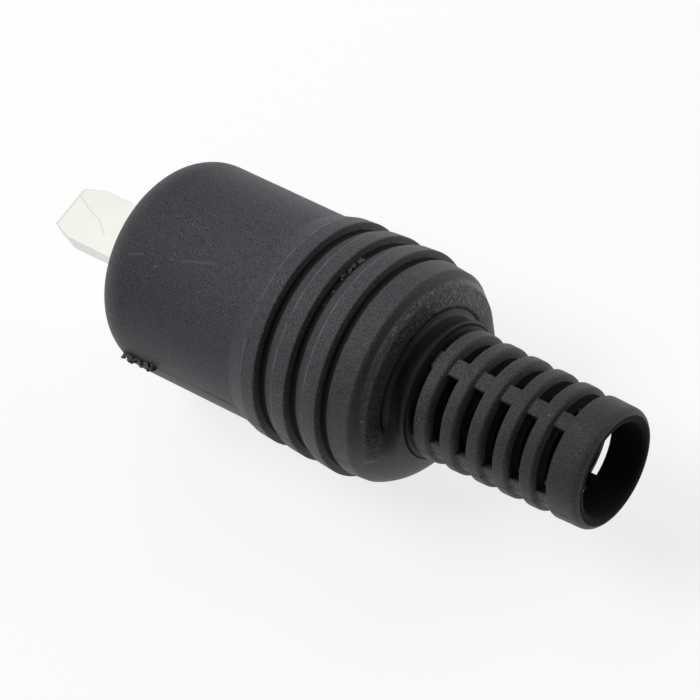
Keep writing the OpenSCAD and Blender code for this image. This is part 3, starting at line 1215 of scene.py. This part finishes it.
# painted highlights along the crests and the ridge
crest_light = 0.7
ridge_light = 0.5
fleck_light = 0.9
scuff_light = 0.4
scuff_half = 0.14
scuff_marks = [
    (Vector((6.7, -2.77, 7.30)), Vector((9.25, -2.0, 7.55))),
    (Vector((2.6, -3.76, 6.81)), Vector((3.6, -3.42, 6.99))),
]
patch_levels = (0.35, 0.6)
speck_contrast = 8.0
speck_middle = -4.2
# more pale specks towards the wall's far side, as a painted highlight there
speck_far_side = 0.14
fleck_edge = 0.06
fleck_core = 0.0418
scratch = use_group(tree, scratch_group, Vector=place, Fineness=2500.0, Amount=0.3)
squeezed = add_node(tree, "ShaderNodeMapping", {"Vector": place, "Scale": (1.0, 0.55, 1.0)})
coarse = add_node(
    tree,
    "ShaderNodeTexNoise",
    {"Vector": squeezed.outputs[0], "Scale": 4500.0, "Detail": 3.0, "Roughness": 0.65, "Distortion": 0.5},
).outputs["Fac"]
sideways = add_node(tree, "ShaderNodeSeparateXYZ", {"Vector": place}).outputs["Y"]
speck_level = math_node(tree, "MULTIPLY_ADD", sideways, speck_far_side / mm, speck_middle)
speck = math_node(tree, "MULTIPLY_ADD", coarse, speck_contrast, speck_level, clamp=True)
dust = add_node(tree, "ShaderNodeTexVoronoi", {"Vector": place, "Scale": 700.0}).outputs["Distance"]
patchy = between(tree, grain["Blotch"], *patch_levels)
pale_places = [
    product(tree, scratch["Mask"], scratch_light),
    product(tree, area["Crest_Highlight"], patchy, crest_light),
    product(tree, area["Ridge_Highlight"], grain["Blotch"], ridge_light),
    product(tree, area["Wall"], speck),
    product(tree, between(tree, dust, fleck_edge, fleck_core), fleck_light),
]
for start, end in scuff_marks:
    pale_places.append(product(tree, mark(tree, place, start, end, scuff_half), scuff_light))
# the palest of wear, dust and painted highlights at each point
wear_and_painted_highlight = pale_places[0]
for pale in pale_places[1:]:
    wear_and_painted_highlight = math_node(tree, "MAXIMUM", wear_and_painted_highlight, pale)
print("pale places on the charcoal:", len(pale_places), "kinds and marks")

# %% Relief and sheen of the hood's skin
skin_grain = 0.06
wall_grain = 0.7
skin_roughness = (0.38, 0.60)
groove_dulling = 0.4
wall_gloss = 0.2
grain_height = product(tree, grain["Grain"], skin_grain)
wall_height = product(tree, coarse, area["Wall"], wall_grain)
skin_height = math_node(tree, "ADD", grain_height, wall_height)
sheen = spread(tree, grain["Grain"], *skin_roughness)
sheen = math_node(tree, "MULTIPLY_ADD", area["Groove"], groove_dulling, sheen)
sheen = math_node(tree, "MULTIPLY_ADD", area["Wall"], -wall_gloss, sheen)
colour = blend(tree, wear_and_painted_highlight, shaded, wear_and_highlight_grey)
skin_inputs = {"Base Color": colour, "Roughness": sheen, "Specular IOR Level": 0.45}
end_finish(tree, output, skin_height, skin_inputs)
hood.data.materials.append(hood_plastic)
print("charcoal plastic on", hood.name)

# %% [markdown]
# The walls of the slots and the inside of the hood are coloured nearly black, as painted shade in these
# recesses, and have almost no sheen. They get a finish of their own.

# %% Painted shade in the recesses
# painted shade: the recesses are coloured nearly black
recess_shade_dark = (0.009, 0.009, 0.010, 1)
recess_shade_light = (0.018, 0.018, 0.021, 1)
core_grain = 0.12
recess_margin = 0.05
collar_margin = 0.1
mouth_lip = 0.3
recess_shade_plastic, tree, output, place = new_finish("recess_painted_shade")
grain = use_group(tree, grain_group, Vector=place, Fineness=7000.0)
colour = blend(tree, grain["Blotch"], recess_shade_dark, recess_shade_light)
coarse = add_node(tree, "ShaderNodeTexNoise", {"Vector": place, "Scale": 6000.0, "Detail": 3.0})
height = product(tree, coarse.outputs["Fac"], core_grain)
end_finish(tree, output, height, {"Base Color": colour, "Roughness": 0.75, "Specular IOR Level": 0.15})
hood.data.materials.append(recess_shade_plastic)


def in_recess(place):
    """True on the walls of the slots and inside the hood."""
    x = place.x / mm
    radius = radius_of(place) / mm
    if x < band_end:
        return radius < rim_r - recess_margin
    if x < slots_start:
        return radius < collar_r - collar_margin
    return radius < min(relief_outside(x) - tab_drop - recess_margin, mouth_r - mouth_lip)


recess_faces = [face for face in hood.data.polygons if in_recess(face.center)]
for face in recess_faces:
    face.material_index = 1
print("matte finish on", len(recess_faces), "faces")

# %% [markdown]
# ## Flash
# A worn mould lets a little plastic out where its halves meet, and more where the plastic was let in. It
# stays on the moulding as crumbs: a torn fin at the front of the near side, a knob on the far side, and
# a smear in the second groove. Sculpting would do for a few of them. Here each crumb is a small ball,
# flattened, roughened with noise and sunk into the skin. Torn plastic is paler and duller than the
# moulded skin, so the crumbs have a finish of their own.

# %% Torn plastic
torn_dark = (0.08, 0.08, 0.085, 1)
torn_light = (0.20, 0.20, 0.205, 1)
torn_grain = 0.01
torn_plastic, tree, output, place = new_finish("torn_plastic")
grain = use_group(tree, grain_group, Vector=place, Fineness=9000.0)
colour = blend(tree, grain["Grain"], torn_dark, torn_light)
height = product(tree, grain["Grain"], torn_grain)
end_finish(tree, output, height, {"Base Color": colour, "Roughness": 0.65, "Specular IOR Level": 0.3})
print("torn plastic is ready")

# %% Crumbs of flash
crumb_rough = 0.8
crumb_form = Vector((1.3, 1.0, 0.55))
lump_scale = 1.7
lump_variety = 3000
fin_crumbs = 70
fin_reach = (2.4, 5.1)
fin_angle = 91
fin_scatter = 0.8
fin_height = (-0.05, 0.34)
fin_sizes = (0.06, 0.16)
knob_crumbs = 5
knob_reach = (0.5, 0.9)
knob_angle = -90
knob_scatter = 1.0
knob_r = 6.95
knob_sizes = (0.08, 0.14)
smear_crumbs = 40
smear_reach = (17.75, 18.15)
smear_angles = (-24, -6)
smear_height = (-0.02, 0.1)
smear_sizes = (0.07, 0.15)


def crumb(x, angle, radius, size):
    """A rough lump on the hood, at an angle from the top to the near side, in millimetres and degrees."""
    turn = math.radians(angle)
    place = Vector((x, -radius * math.sin(turn), radius * math.cos(turn))) * mm
    bpy.ops.object.select_all(action="DESELECT")
    bpy.ops.mesh.primitive_ico_sphere_add(subdivisions=2, radius=1)
    lump = bpy.context.object
    for vertex in lump.data.vertices:
        swell = 1 + crumb_rough * noise.noise(vertex.co * lump_scale + place * lump_variety)
        vertex.co = place + crumb_form * vertex.co * (size * swell * mm)
    lump.data.materials.append(torn_plastic)
    bpy.ops.object.shade_smooth()
    return lump


crumbs = []
chance = random.Random(5)
for number in range(fin_crumbs):
    x = chance.uniform(*fin_reach)
    angle = chance.gauss(fin_angle, fin_scatter)
    radius = body_r + chance.uniform(*fin_height)
    crumbs.append(crumb(x, angle, radius, chance.uniform(*fin_sizes)))
for number in range(knob_crumbs):
    x = chance.uniform(*knob_reach)
    angle = chance.gauss(knob_angle, knob_scatter)
    crumbs.append(crumb(x, angle, knob_r, chance.uniform(*knob_sizes)))
for number in range(smear_crumbs):
    x = chance.uniform(*smear_reach)
    angle = chance.uniform(*smear_angles)
    radius = groove_r + chance.uniform(*smear_height)
    crumbs.append(crumb(x, angle, radius, chance.uniform(*smear_sizes)))
pick(*crumbs, hood)
bpy.ops.object.join()
print("joined", len(crumbs), "crumbs to", hood.name)

# %% [markdown]
# ## Black plastic
# The insert is a harder and smoother moulding than the hood, nearly black. It uses the same grain, with
# less relief and more sheen.

# %% Insert plastic
insert_dark = (0.014, 0.014, 0.016, 1)
insert_light = (0.024, 0.024, 0.027, 1)
insert_roughness = (0.30, 0.48)
insert_grain = 0.006
insert_plastic, tree, output, place = new_finish("black_plastic")
grain = use_group(tree, grain_group, Vector=place, Fineness=7000.0)
colour = blend(tree, grain["Blotch"], insert_dark, insert_light)
height = product(tree, grain["Grain"], insert_grain)
sheen = spread(tree, grain["Grain"], *insert_roughness)
end_finish(tree, output, height, {"Base Color": colour, "Roughness": sheen})
insert.data.materials.append(insert_plastic)
print("black plastic on", insert.name)

# %% [markdown]
# ## Nickel and zinc
# The contacts are nickel-plated brass, bright and slightly warm, with fine marks along the blade from
# rolling and plugging in, a crease across its face, and painted shade along the edges of its face. The
# screws are zinc-plated steel, cooler and a little duller. Both are the same tree of nodes with other
# colours, so one function makes them.

# %% Plated metals
plating_grain = 0.002
scratch_depth = 0.004
crease_and_edge_half = 0.07
crease_and_edge_shade_grey = (0.60, 0.60, 0.55, 1)


def plated(name, dull, bright, roughness, marks, creases_and_edge_shade=()):
    """A plated metal with blotches, fine scratches along the piece, a little grain, and darker lines for
    creases and painted edge shade.
    """
    material, tree, output, place = new_finish(name)
    grain = use_group(tree, grain_group, Vector=place, Fineness=5000.0)
    scratch = use_group(tree, scratch_group, Vector=place, Fineness=6000.0, Amount=marks)
    colour = blend(tree, grain["Blotch"], (*dull, 1), (*bright, 1))
    for start, end in creases_and_edge_shade:
        colour = blend(tree, mark(tree, place, start, end, crease_and_edge_half), colour, crease_and_edge_shade_grey)
    grain_height = product(tree, grain["Grain"], plating_grain)
    height = math_node(tree, "MULTIPLY_ADD", scratch["Mask"], -scratch_depth, grain_height)
    sheen = spread(tree, grain["Blotch"], *roughness)
    end_finish(tree, output, height, {"Base Color": colour, "Metallic": 1.0, "Roughness": sheen})
    return material


blade_top = blade_t / 2
crease_points = [
    Vector((-9.0, 1.1, blade_top)),
    Vector((-7.7, 0.5, blade_top)),
    Vector((-6.2, 0.0, blade_top)),
    Vector((-5.0, -0.9, blade_top)),
]
# painted shade along the edges of the blade's top face
painted_edge_shade_points = [
    Vector((0, blade_w / 2, blade_top)),
    Vector((nose_start, blade_w / 2, blade_top)),
    Vector((bevel_start, bevel_w / 2, blade_top)),
    Vector((bevel_start, -bevel_w / 2, blade_top)),
    Vector((nose_start, -blade_w / 2, blade_top)),
    Vector((0, -blade_w / 2, blade_top)),
]
creases_and_edge_shade = list(zip(crease_points, crease_points[1:])) + list(zip(painted_edge_shade_points, painted_edge_shade_points[1:]))
nickel = plated("nickel_plate", (0.73, 0.73, 0.68), (0.82, 0.82, 0.77), (0.26, 0.40), 0.28, creases_and_edge_shade)
zinc = plated("zinc_plate", (0.60, 0.61, 0.62), (0.74, 0.75, 0.76), (0.22, 0.42), 0.30)
for piece in (blade, pin):
    piece.data.materials.append(nickel)
for piece in (blade_screw, pin_screw):
    piece.data.materials.append(zinc)
print("plated metals are on the contacts and screws")
